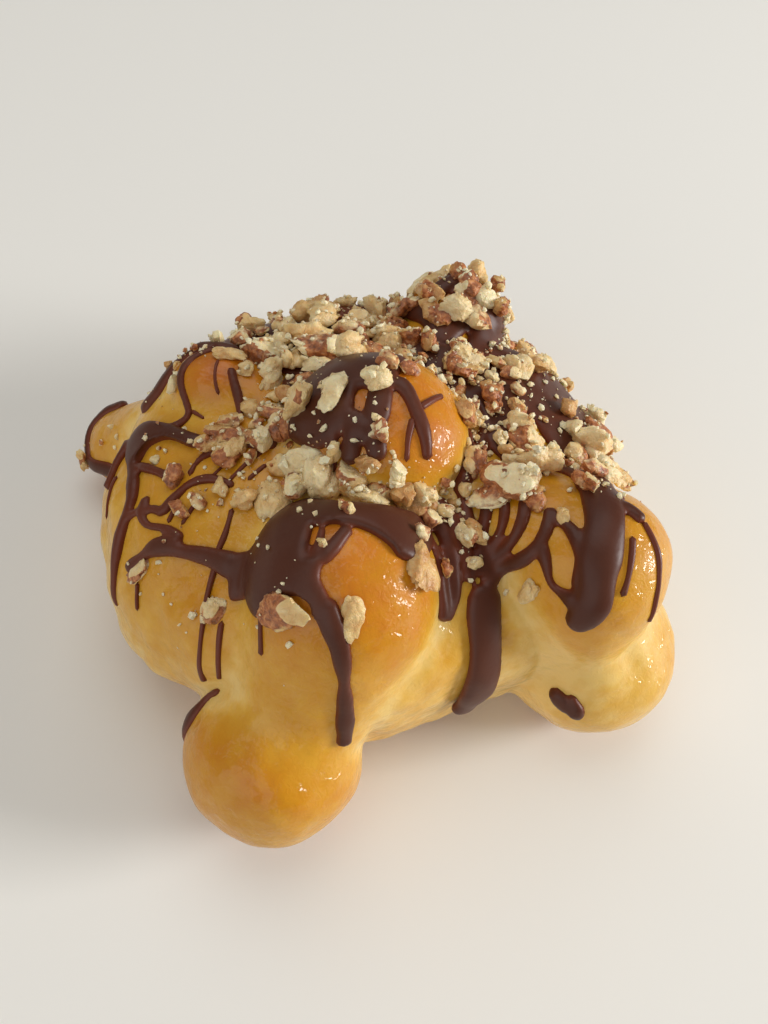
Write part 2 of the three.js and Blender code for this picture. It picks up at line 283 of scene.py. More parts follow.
# A length of dough as rings: a dome, a radius that eases, a dome
def lengthRings(start, end, startRadius, endRadius, domeRows=9, rows=12):
    dome = np.linspace(0, np.pi / 2, domeRows)
    share = np.linspace(0, 1, rows)[1:-1]
    long = np.linalg.norm(end - start)
    out = [startRadius * np.sin(dome), startRadius + (endRadius - startRadius) * ease(share, 0, 1)]
    along = [-startRadius * np.cos(dome), share * long]
    out = np.concatenate(out + [endRadius * np.cos(dome)])
    along = np.concatenate(along + [long + endRadius * np.sin(dome)])
    return turnedRings(start, end - start, out, along)


# The bun and the ball as rings: a squarish ellipse, higher above its widest level than below
def ovalRings(centre, halfX, halfY, rise, drop, square, turn=0, rows=40, around=80):
    up = np.linspace(-np.pi / 2, np.pi / 2, rows)
    out = np.abs(np.cos(up)) ** (2 / square)
    level = np.sign(up) * np.abs(np.sin(up)) ** (2 / square) * np.where(up > 0, rise, drop)
    bearing = np.linspace(0, 2 * np.pi, around, endpoint=False)
    x, y = out[:, None] * np.cos(bearing) * halfX, out[:, None] * np.sin(bearing) * halfY
    return turnedBy(np.stack([x, y, np.broadcast_to(level[:, None], x.shape)], -1), turn) + centre


# All lumps fused, then settled on the softly joined field, with low relief
def crustSurface():
    ballX, ballY, ballZ = dough["ball"]["half"]
    grids = [ovalRings(**dough["bun"]), ovalRings(dough["ball"]["centre"], ballX, ballY, ballZ, ballZ, 2)]
    for arm in dough["arms"]:
        spots, radii = armLumps(arm)
        grids += [lengthRings(*spots[k:k + 2], *radii[k:k + 2]) for k in range(3)]
    places, quads = fused(grids, dough["voxel"])
    places = settled(smoothed(places, quads, rounds=3), rounds=6)
    places = settled(0.5 * (places + neighbourMean(places, quads)), rounds=3)
    return settled(places, crustRelief(places), rounds=3), quads


# Browning, from 0 for pale to 1 for dark, with painted light and shade by side
browningAndPaintedLight = {
    "base": 0.16, "facingUp": 0.06,
    "bulge": 0.065, "bulgeReach": 5.0, "bulgeLimits": (-4, 4.5),  # for each millimetre that a crown bulges
    # how much more each cause browns, and the millimetres between which it eases in, or out for tray and bun
    "high": (0.3, 16, 54), "tray": (0.36, 0.5, 10), "bun": (-0.09, 0.3, 4),
    # painted shade browns the crust towards the left and fades out again on the far left flank; painted light
    # makes the right flank paler
    "paintedShadeLeft": (0.1, -10, 20), "paintedShadeLeftFade": (-0.1, 20, 38), "paintedLightRight": (-0.25, 10, 42),
    # the pale foot of the ball: how far out and how high it goes, and how much paler it is in front
    "footOut": (14, 18), "footHigh": (40, 51), "foot": -0.4, "footFront": (-0.5, 2, 17),
    "patches": (0.05, 22, 8),  # amount, wave length, seed
}


# How brown the crust is: high places and round crowns brown first, creases and flanks stay pale; painted
# shade browns it towards the left and painted light makes the right flank paler
# A crown's bulge is how much farther from the crust the places around it lie, on the whole
def crustBakeAndPaintedLight(places):
    brownAndLight = browningAndPaintedLight
    x, _, z = places.T

    def more(cause, value):
        amount, low, high = brownAndLight[cause]
        return amount * ease(value, low, high)

    def less(cause, value):
        return brownAndLight[cause][0] - more(cause, value)

    ways = np.eye(3) * brownAndLight["bulgeReach"]
    around = sum(crustField(places + s * way) for way in ways for s in (-1, 1))
    bulge = np.clip(around - 6 * crustField(places), *brownAndLight["bulgeLimits"])
    bakeAndPaintedLight = brownAndLight["base"] + brownAndLight["bulge"] * bulge + brownAndLight["facingUp"] * unit(crustSlope(places))[:, 2]
    bakeAndPaintedLight += more("high", z) + less("tray", z) + less("bun", bunField(places))
    # Painted shade: browner towards the left, less so again on the far left flank; painted light: paler on
    # the right flank
    bakeAndPaintedLight += more("paintedShadeLeft", -x) + more("paintedShadeLeftFade", -x) + more("paintedLightRight", x)
    right, back = (places[:, :2] - dough["ball"]["centre"][:2]).T
    foot = (1 - ease(np.hypot(right, back), *brownAndLight["footOut"])) * (1 - ease(z, *brownAndLight["footHigh"]))
    bakeAndPaintedLight += foot * (brownAndLight["foot"] + more("footFront", right - back))
    amount, length, seed = brownAndLight["patches"]
    return np.clip(bakeAndPaintedLight + amount * waves(places, length, seed), 0, 1)


# Finishes
black = (0.0, 0.0, 0.0, 1.0)


# A colour as the eye reads it, from 0 to 255, made linear
def shade(red, green, blue):
    share = np.array([red, green, blue]) / 255
    linear = np.where(share < 0.04045, share / 12.92, ((share + 0.055) / 1.055) ** 2.4)
    return (*linear, 1.0)


# Adds a node; an input is a plain value or another node's output
def addNode(tree, kind, inputs, **settings):
    node = tree.nodes.new("ShaderNode" + kind)
    for name, value in settings.items():
        setattr(node, name, value)
    for name, value in inputs.items():
        if isinstance(value, bpy.types.NodeSocket):
            tree.links.new(value, node.inputs[name])
        else:
            node.inputs[name].default_value = value
    return node


# An empty finish and its tree of nodes
def newFinish(name):
    finish = bpy.data.materials.new(name)
    finish.use_nodes = True
    finish.node_tree.nodes.clear()
    return finish, finish.node_tree


# Closes a finish with its surface shader, whose subsurface radius is in metres
def surface(tree, inputs):
    shader = addNode(tree, "BsdfPrincipled", {"Subsurface Scale": 1.0, **inputs})
    addNode(tree, "OutputMaterial", {"Surface": shader.outputs["BSDF"]})


# Places in the piece's own frame
def objectPlaces(tree):
    return addNode(tree, "TexCoord", {}).outputs["Object"]


# A value that the piece carries at its corners
def readMark(tree, name):
    return addNode(tree, "Attribute", {}, attribute_name=name).outputs["Fac"]


# Noise with about so many lumps to a metre
def noise(tree, places, scale, detail=3.0, distortion=0.0):
    inputs = {"Vector": places, "Scale": scale, "Detail": detail, "Distortion": distortion}
    return addNode(tree, "TexNoise", inputs).outputs["Fac"]


# value * share + base
def weigh(tree, value, share, base):
    return addNode(tree, "Math", {0: value, 1: share, 2: base}, operation="MULTIPLY_ADD").outputs[0]


# A colour that runs through stops, each a value from 0 to 1 and its colour
def ramp(tree, value, stops):
    node = addNode(tree, "ValToRGB", {"Fac": value})
    for k, (at, colour) in enumerate(stops):
        stop = node.color_ramp.elements[k] if k < 2 else node.color_ramp.elements.new(at)
        stop.position = at
        stop.color = colour
    return node.outputs["Color"]


# A colour between low and high; a Mix node keeps its colours in sockets 6, 7 and 2
def mixColour(tree, share, low, high):
    return addNode(tree, "Mix", {0: share, 6: low, 7: high}, data_type="RGBA").outputs[2]


# A normal bent by a height, which is distance metres deep
def bump(tree, height, strength, distance):
    inputs = {"Height": height, "Strength": strength, "Distance": distance}
    return addNode(tree, "Bump", inputs).outputs["Normal"]


crustLook = {
    "stops": [
        (0.0, shade(236, 196, 110)),
        (0.14, shade(228, 178, 76)),
        (0.3, shade(216, 158, 44)),
        (0.55, shade(206, 138, 16)),
        (0.8, shade(200, 118, 18)),
        (1.0, shade(182, 92, 22)),
    ],
    "patches": 60, "patchShare": 0.4,  # lumps to a metre, and how far they shift the browning
    "mottle": 380, "mottleShare": 0.4,
    "rough": 0.3, "roughMore": 0.25,  # at the least, and how much the mottling adds
    "wrinkle": 1100, "wrinkleShow": 0.35, "wrinkleDeep": 0.0003,
    "glaze": 360, "glazeShow": 0.6, "glazeDeep": 0.0014,
    "sockets": {
        "Specular IOR Level": 0.24, "Coat Weight": 0.5, "Coat Roughness": 0.08,
        "Subsurface Weight": 0.1, "Subsurface Radius": (0.004, 0.002, 0.0006),
    },
}


# Egg-washed crust: browning, with painted light and shade by side, from the crust's own mark, patches and
# mottling, a wrinkled glaze on top
def crustFinish():
    look = crustLook
    finish, tree = newFinish("crustFinish")
    at = objectPlaces(tree)
    patches = noise(tree, at, look["patches"])
    mottle = noise(tree, at, look["mottle"], detail=4.0)
    bakeAndPaintedLight = weigh(tree, patches, look["patchShare"], readMark(tree, "bakeAndPaintedLight"))
    bakeAndPaintedLight = weigh(tree, mottle, look["mottleShare"], bakeAndPaintedLight)
    bakeAndPaintedLight = weigh(tree, bakeAndPaintedLight, 1.0, -0.5 * (look["patchShare"] + look["mottleShare"]))
    wrinkle = noise(tree, at, look["wrinkle"], distortion=0.8)
    glaze = noise(tree, at, look["glaze"], distortion=0.3)
    surface(tree, {
        "Base Color": ramp(tree, bakeAndPaintedLight, look["stops"]),
        "Roughness": weigh(tree, mottle, look["roughMore"], look["rough"]),
        "Normal": bump(tree, wrinkle, look["wrinkleShow"], look["wrinkleDeep"]),
        "Coat Normal": bump(tree, glaze, look["glazeShow"], look["glazeDeep"]),
        **look["sockets"],
    })
    return finish


# Chocolate: lines laid over the crust, each with its widths from start to end and its places on the map
chocolate = {
    "voxel": 0.41,
    "ringApart": 0.8, "sides": 22,
    "threadApart": 0.5, "threadSides": 10, "threadSeed": 90,
    "routeSteps": 80,  # points along a line before it is cut into even steps
    "proudMost": 1.8, "proudWidth": 3.0,  # the height of a wide line, and the width where it levels off
    "edgeSteps": 10, "topRings": 26, "underRings": 14,  # points between a pool's corners, and its rings
    "poolProud": 1.3, "topFlat": 6, "underFlat": 4,  # powers that level a pool's top and underside
    "sunk": 0.9, "sunkShare": 0.5,  # how far it lies in the crust, at most, and in widths of a line
    "flat": 0.75,  # below 1 a line's top is flatter and its edges steeper than an oval's
    "wobble": 0.15, "wobbleWidest": 2.5, "wobbleLength": 7,
    "bead": 0.2,  # how much fatter a line gets where it ran out
    "rounds": 5,
    "pools": [
        # over the ball
        [(-34, 13), (-22, 14), (-10, 12), (-1, 9), (-1.5, 2), (-3, -4), (-7, -4.5), (-10, -5), (-10.5, -12),
         (-14, -16), (-19, -18), (-27, -14), (-31, -7), (-33, 2)],
        # over the front hump
        [(-30, -40), (-27, -33), (-21, -29.5), (-14, -30), (-13.5, -36), (-12, -41), (-9, -41), (-9, -44),
         (-6, -48), (-5, -53), (-8, -49.5), (-12, -47.5), (-17, -48.5), (-19.5, -50.5), (-21.5, -53.5),
         (-25, -53), (-29, -50)],
        [(-30, -42), (-35, -43), (-37, -46), (-34, -48), (-33, -51), (-31.5, -52.5), (-27, -51), (-24, -45),
         (-27, -40)],
        [(-18, -30.5), (-10, -30.2), (0, -30.5), (8, -30.5), (13, -31), (14, -36), (10, -40), (5, -39.5),
         (3, -37.8), (-1, -36), (-5, -35.2), (-9, -35), (-14, -35.5), (-18, -35)],
        # over the left side
        [(-69, -6), (-66, -3), (-62, -4), (-58, -6), (-53, -9.5), (-49, -12), (-51, -14.5), (-56.5, -11),
         (-60, -10), (-63, -11.5), (-65, -16), (-68, -13)],
        # over the right back
        [(24, 16), (30, 20), (36, 17), (39, 8), (37, 0), (32, -4), (28, 2), (26, 9)],
        [(16, 16), (17, 30), (24, 41), (36, 48), (48, 47), (58, 43), (65, 34), (66, 22), (62, 12), (54, 5),
         (46, 9), (38, 17), (28, 14)],
        # over the back
        [(8, 46), (12, 54), (18, 58), (26, 62), (31, 55), (31, 46), (27, 38), (22, 33), (17, 36), (15, 42)],
        [(-10, 30), (0, 37), (8, 35), (14, 35), (20, 30), (22, 24), (19, 18), (12, 14), (2, 17), (-6, 22)],
        # over the left back
        [(-62, 22), (-56, 34), (-46, 42), (-40, 36), (-44, 24), (-52, 18)],
        [(-47, 24), (-44, 36), (-34, 44), (-22, 44), (-12, 36), (-10, 22), (-20, 16), (-33, 14), (-42, 17)],
    ],
    "lines": [
        # over the ball
        ((2.3, 1.9, 1.4), [(-3, -1), (0.5, -3.5), (3.5, -8), (6.3, -13), (8, -17.5)]),
        ((4.6, 3.4, 2.6), [(-5, -3), (-5, -9), (-5, -14), (-3, -20.5)]),
        ((4, 3.4, 2.2), [(-10.5, -9), (-9.8, -15), (-10, -22)]),
        ((3.8, 3.4), [(-12, -13.5), (-8.5, -14), (-5, -13.5)]),
        ((4, 3), [(-34, 13), (-32, 2), (-29, -8), (-22, -14)]),
        ((2, 1.6), [(-15, -14), (-14.5, -19), (-15, -24)]),
        # over the left side
        ((2.4, 2.5, 2.3, 1.8, 1.2), [(-66, -13), (-63.5, -19), (-61.5, -25), (-61.5, -31), (-63, -37),
                                     (-64.5, -42), (-67, -50)]),
        ((2.2, 2.4, 2), [(-50, -12), (-44, -13), (-38, -14), (-33, -13)]),
        ((1.6, 1.5, 1.5, 1.5), [(-61.5, -30), (-55, -30), (-52.5, -31), (-51, -28), (-49, -25), (-45, -24),
                                (-39, -26.5)]),
        ((1.7, 1.8, 2.2), [(-57, -26), (-57, -30), (-55, -33.5), (-50, -35.5), (-46, -39)]),
        ((2.4, 2.2, 3, 3.2, 4.4), [(-59.5, -42.5), (-56, -41), (-51, -39), (-45, -41), (-39, -43),
                                   (-32, -46)]),
        ((1.5, 1.4), [(-64, -16), (-58, -19.5), (-54, -22)]),
        ((1.6, 1.4), [(-45, -13), (-49, -18), (-50, -23)]),
        ((1.3, 1.4, 1.4), [(-49, 15), (-52, 11), (-54.5, 6), (-55.5, 0), (-56, -4), (-59, -7)]),
        ((1.4, 1.4), [(-45, 9), (-44.5, 3), (-44.5, -3), (-44, -7)]),
        ((3, 3.2, 2.6), [(-86, 24), (-93, 18), (-96, 9), (-93, 2)]),
        ((2.6, 3, 2.6), [(-65, 14), (-58, 17), (-52, 18), (-46, 18)]),
        ((2, 1.6), [(-69, -6), (-72, -12), (-74, -19)]),
        ((2.6, 4, 4, 3.4), [(-69, 2), (-65, 9), (-60, 16), (-55, 22), (-50, 28)]),
        ((1.4, 2, 1.5), [(-34, -71.5), (-38, -74), (-41, -78), (-42, -83)]),
        # over the front hump
        ((1.4, 1.6), [(-12, -34), (-11, -38), (-10.5, -42)]),
        ((2, 1.8), [(-6, -35), (-8, -39), (-10, -42)]),
        ((4, 3, 2.5, 2.6, 3), [(-8.5, -47), (-6, -50.5), (-3.6, -55), (-2, -61), (-0.8, -69),
                               (0, -77.5)]),
        ((2.6, 2.2, 2.4), [(10, -31), (13, -35), (15.5, -39), (18, -44), (20, -49.5), (20.8, -53)]),
        ((3, 2.4, 2.4), [(14, -27), (18, -33), (20.5, -38), (22, -43), (22.5, -48.5), (21.2, -53)]),
        # between the front hump and the right one
        ((4.8, 5.2, 6, 6, 5.2, 3.8), [(31, -41), (32, -48), (35, -55), (38, -63), (40.5, -71), (42, -80)]),
        ((2.6, 2.4, 2), [(14, -24), (20, -29), (24, -35), (27, -43)]),
        ((2.4, 2.2), [(20, -17), (23, -22), (24.5, -27), (27, -33)]),
        ((2, 2, 2.4), [(27.5, -18), (28.5, -27), (29, -34), (29.5, -41)]),
        ((1.6, 1.6, 2.2), [(30.5, -19), (31, -26), (31, -33), (30.5, -41)]),
        ((2, 1.8, 2.2), [(33.5, -18), (33.2, -25), (32.6, -32), (31.6, -41)]),
        ((2, 2.2, 2.6), [(36.5, -19), (36, -26), (35, -33), (33.4, -39), (31.5, -43)]),
        ((1.8, 1.8, 2.6), [(35.5, -27), (37.5, -32), (39.5, -35.5), (43, -36.5)]),
        ((1.8, 1.7, 2.2), [(36, -20), (38.7, -23.5), (40, -28), (41, -33), (43.5, -36)]),
        # over the right hump
        ((4.5, 5.2, 5.8, 6.2, 6.4, 6.4, 5.6, 3), [(52, 6), (49, -3), (46, -9), (43.8, -15), (42.4, -22),
                                                  (42.2, -29), (43.8, -35), (45.4, -41)]),
        ((2.4, 2.4, 1.6), [(44, -13), (46.5, -15), (48.8, -17.5)]),
        ((1.6, 1.8), [(48, -7), (47, -14)]),
        ((2.4, 2.6, 2.2), [(62.2, -55.3), (63, -56.8), (64.2, -57.4), (65, -56.6)]),
        ((1.8, 2.4, 2.2), [(63, -54), (64, -55.2), (65.3, -56.8), (66, -58.4)]),
        # over the back
        ((3, 2.4, 2.4), [(30, 20), (29, 10), (27.5, 2), (26.5, -5), (24.5, -11), (21, -18)]),
        ((1.8, 1.6), [(21.5, 8), (21, -3), (20.5, -11), (19.5, -18)]),
        ((2.4, 2.2), [(33, 2), (34, -6), (31, -12), (28, -18)]),
        ((3, 2.6), [(46, 20), (50, 10), (48, 2)]),
        ((7, 7, 6), [(22, 40), (29, 41), (37, 40), (45, 38)]),
        ((5, 6, 5), [(6, 34), (12, 42), (18, 46), (24, 48)]),
        ((4, 4, 3.5, 2.6), [(-22, 48), (-14, 56), (-6, 54), (0, 45), (5, 40), (9, 36)]),
        ((3, 3), [(0, 45), (8, 50), (14, 52)]),
        ((3, 2.4), [(36, 4), (39, -2), (40, -8)]),
        ((3, 2.6), [(47, 10), (53, 2), (56, -4)]),
        ((3, 2.6), [(-30, 34), (-24, 44), (-20, 52)]),
        ((3, 3), [(-44, 26), (-50, 22), (-54, 14)]),
        ((4, 3), [(8, 54), (11, 66), (11, 78)]),
        ((3.6, 2.8), [(-24, 46), (-32, 58), (-36, 72)]),
        ((4.4, 3), [(36, 44), (44, 56), (48, 70)]),
        ((3, 2.6), [(58, 26), (70, 30), (80, 34)]),
        ((2.8, 2.4), [(-44, 30), (-56, 38), (-66, 46)]),
    ],
    "threads": [
        ((1.0, 0.8), [(3.4, -7), (6, -3.5), (9, 0.5)]),
        ((0.9, 0.8), [(2.8, -9), (2.6, -14), (3.2, -19)]),
        ((1.1, 0.9), [(-21.5, -52), (-20.8, -57), (-20.5, -60.5)]),
        ((1.1, 0.9, 1.0), [(-37.5, -44), (-38, -50), (-38, -57), (-38.5, -65), (-38.5, -69.5)]),
        ((0.9, 1.0), [(-33.5, -56), (-33.5, -65), (-34, -69)]),
        ((0.6, 0.5), [(-47, 10), (-48, 1)]),
        ((0.8, 0.6), [(-55, -2), (-52, -4.5)]),
        ((1.4, 1.0, 0.9), [(48.5, -17), (51, -23), (53.5, -29), (56, -33)]),
        ((0.9, 0.8), [(46, -21), (46, -26), (46.5, -32)]),
        ((1.1, 0.9), [(-38, -32), (-37.5, -38), (-38, -43)]),
        ((0.7, 0.7), [(-46, -30), (-47.5, -35)]),
        ((0.7, 0.6), [(-50, -30), (-50.5, -34)]),
        ((0.8, 0.7), [(-40, -16), (-43, -20), (-45, -24)]),
        ((0.7, 0.7), [(-36, -16), (-39, -21), (-41, -25)]),
        ((0.7, 0.7), [(-34, -20), (-37, -25)]),
        ((0.6, 0.5), [(-56, -45.5), (-57, -52)]),
        ((0.7, 0.6), [(-69, -17), (-69.5, -22), (-70, -28)]),
        ((0.9, 0.8), [(28.5, -24), (28, -30), (27, -35)]),
    ],
}


# A smooth curve through points: each stretch is a cubic that leaves and arrives along its neighbours
def curveThrough(points, count):
    points = np.array(points, float)
    knots = np.vstack([2 * points[0] - points[1], points, 2 * points[-1] - points[-2]])
    at = np.linspace(0, len(points) - 1 - 1e-6, count)
    k, share = at.astype(int), (at % 1)[:, None]
    a, b, c, d = knots[k], knots[k + 1], knots[k + 2], knots[k + 3]
    bend = (2 * a - 5 * b + 4 * c - d) * share ** 2 + (3 * b - a - 3 * c + d) * share ** 3
    return b + 0.5 * ((c - a) * share + bend)


# A path cut into even steps, with its length
def evenPath(path, apart, fewest=9):
    run = np.concatenate([[0], np.cumsum(np.linalg.norm(np.diff(path, axis=0), axis=1))])
    at = np.linspace(0, run[-1], max(fewest, int(run[-1] / apart)))
    return np.stack([np.interp(at, run, path[:, k]) for k in range(3)], 1), run[-1]


# A line of chocolate: an oval section carried along its route, spread over the crust, with round ends
def lineRings(widths, route, seed, sides, apart):
    choc = chocolate
    path, length = evenPath(placesOn(*curveThrough(route, choc["routeSteps"]).T), apart)
    middle = settled(path)
    share = np.linspace(0, 1, len(middle))
    width = np.interp(share, np.linspace(0, 1, len(widths)), widths)
    swing = choc["wobble"] * np.minimum(width, choc["wobbleWidest"])
    width = width + swing * waves(middle, choc["wobbleLength"], seed)
    fat = 1 + choc["bead"] * np.exp(-((1 - share) * length / width) ** 2)
    toEnd = np.minimum(share, 1 - share) * length / (width / 2)
    swell = np.sqrt(1 - np.clip(1 - toEnd, 0, 1) ** 2)
    proud = choc["proudMost"] * (1 - np.exp(-width / choc["proudWidth"])) * fat
    sunk = np.minimum(choc["sunk"], choc["sunkShare"] * width)
    heading = unit(np.gradient(middle, axis=0))
    side = unit(np.cross(heading, unit(crustSlope(middle))))
    turn = np.linspace(0, 2 * np.pi, sides, endpoint=False)
    aside = np.cos(turn) * (0.5 * width * fat ** 0.5 * swell)[:, None]
    rise = np.sign(np.sin(turn)) * np.abs(np.sin(turn)) ** choc["flat"]
    lift = rise * np.where(rise > 0, proud[:, None], sunk[:, None]) * swell[:, None]
    foot = settled((middle[:, None] + aside[..., None] * side[:, None]).reshape(-1, 3))
    height = lift.ravel() + crustRelief(foot)
    return (foot + unit(crustSlope(foot)) * height[:, None]).reshape(len(middle), sides, 3)


# A pool of chocolate: rings that shrink from its outline to its middle, over the top and back underneath
def poolRings(outline):
    choc = chocolate
    steps = choc["edgeSteps"]
    loop = curveThrough(outline[-2:] + outline + outline[:2], steps * (len(outline) + 3) + 1)
    edge = loop[2 * steps:-steps - 1]  # once round, without the stretches that overlap
    middle = np.mean(outline, 0)
    over = np.sin(np.linspace(0, np.pi / 2, choc["topRings"]))
    under = np.linspace(1, 0, choc["underRings"])[1:]
    proud = choc["poolProud"] * (1 - over ** choc["topFlat"]) ** 0.5
    sunk = choc["sunk"] * (1 - under ** choc["underFlat"])
    share, lift = np.concatenate([over, under]), np.concatenate([proud, -sunk])
    spots = (middle + share[:, None, None] * (edge - middle)).reshape(-1, 2)
    foot = settled(placesOn(*spots.T))
    height = np.repeat(lift, len(edge)) + crustRelief(foot)
    return (foot + unit(crustSlope(foot)) * height[:, None]).reshape(len(share), len(edge), 3)


# Threads too thin to be fused: each line's rings, with its ends closed
def threadSurface():
    choc = chocolate
    places, quads, triangles, start = [], [], [], 0
    for k, line in enumerate(choc["threads"]):
        rings = lineRings(*line, choc["threadSeed"] + k, choc["threadSides"], choc["threadApart"])
        faces = closedFaces(len(rings) - 2, choc["threadSides"])
        places += [rings[1:-1].reshape(-1, 3), rings[[0, -1], 0]]
        quads.append(faces[0] + start)
        triangles.append(faces[1] + start)
        start += (len(rings) - 2) * choc["threadSides"] + 2
    return np.concatenate(places), [np.concatenate(quads), np.concatenate(triangles)]


# The pools and wide lines fused and smoothed, and the threads beside them
def chocolateSurface():
    choc = chocolate
    grids = [poolRings(outline) for outline in choc["pools"]]
    grids += [lineRings(*line, k, choc["sides"], choc["ringApart"]) for k, line in enumerate(choc["lines"])]
    places, quads = fused(grids, choc["voxel"])
    places = smoothed(places, quads, choc["rounds"])
    threads, threadFaces = threadSurface()
    return np.concatenate([places, threads]), [quads] + [faces + len(places) for faces in threadFaces]


chocolateLook = {
    "thin": shade(112, 50, 28), "thick": shade(79, 38, 22), "bloom": shade(97, 56, 40),
    "thickFrom": (0.2, 1.0),  # depths between which thin chocolate turns to thick
    "patches": 90, "bloomFrom": 0.4, "bloomTo": 0.75, "bloomMost": (0.5, 0.5, 0.5, 1.0),
    "rough": 0.32, "roughMore": 0.2,
    "grain": 1500, "grainShow": 0.1, "grainDeep": 0.0002,
    "sockets": {
        "Specular IOR Level": 0.3, "Subsurface Weight": 0.03, "Subsurface Radius": (0.002, 0.001, 0.0006),
    },
}


# Set chocolate: redder where it lies thin, a faint bloom in patches, satin
def chocolateFinish():
    look = chocolateLook
    finish, tree = newFinish("chocolateFinish")
    at = objectPlaces(tree)
    patches = noise(tree, at, look["patches"], detail=4.0)
    body = mixColour(tree, readMark(tree, "thick"), look["thin"], look["thick"])
    bloom = ramp(tree, patches, [(look["bloomFrom"], black), (look["bloomTo"], look["bloomMost"])])
    grain = noise(tree, at, look["grain"], detail=2.0)
    surface(tree, {
        "Base Color": mixColour(tree, bloom, body, look["bloom"]),
        "Roughness": weigh(tree, patches, look["roughMore"], look["rough"]),
        "Normal": bump(tree, grain, look["grainShow"], look["grainDeep"]),
        **look["sockets"],
    })
    return finish


# A chip of nut of size 1: its lobes, the planes that cut it, its crags as wave length, height and seed
chip = {
    "lobes": 5, "lobeOut": (0.18, 0.38), "lobeRadius": (0.22, 0.4), "core": 0.24,
    "planes": 4, "offset": (0.25, 0.54),
    "crags": [(0.45, 0.08, 21), (0.2, -0.05, 22), (0.11, 0.02, 23)],
    "width": (0.6, 0.95), "thick": (0.5, 0.8), "lean": 0.6,
    "seat": 0.26,  # how far its middle lies above what it fell on, in thicknesses
    "skinned": 0.5, "skinEdge": 0.06,  # share of chips with some skin, and how far from a cut it fades in
    "tone": (0.0, 1.0),  # from brown to cream
}

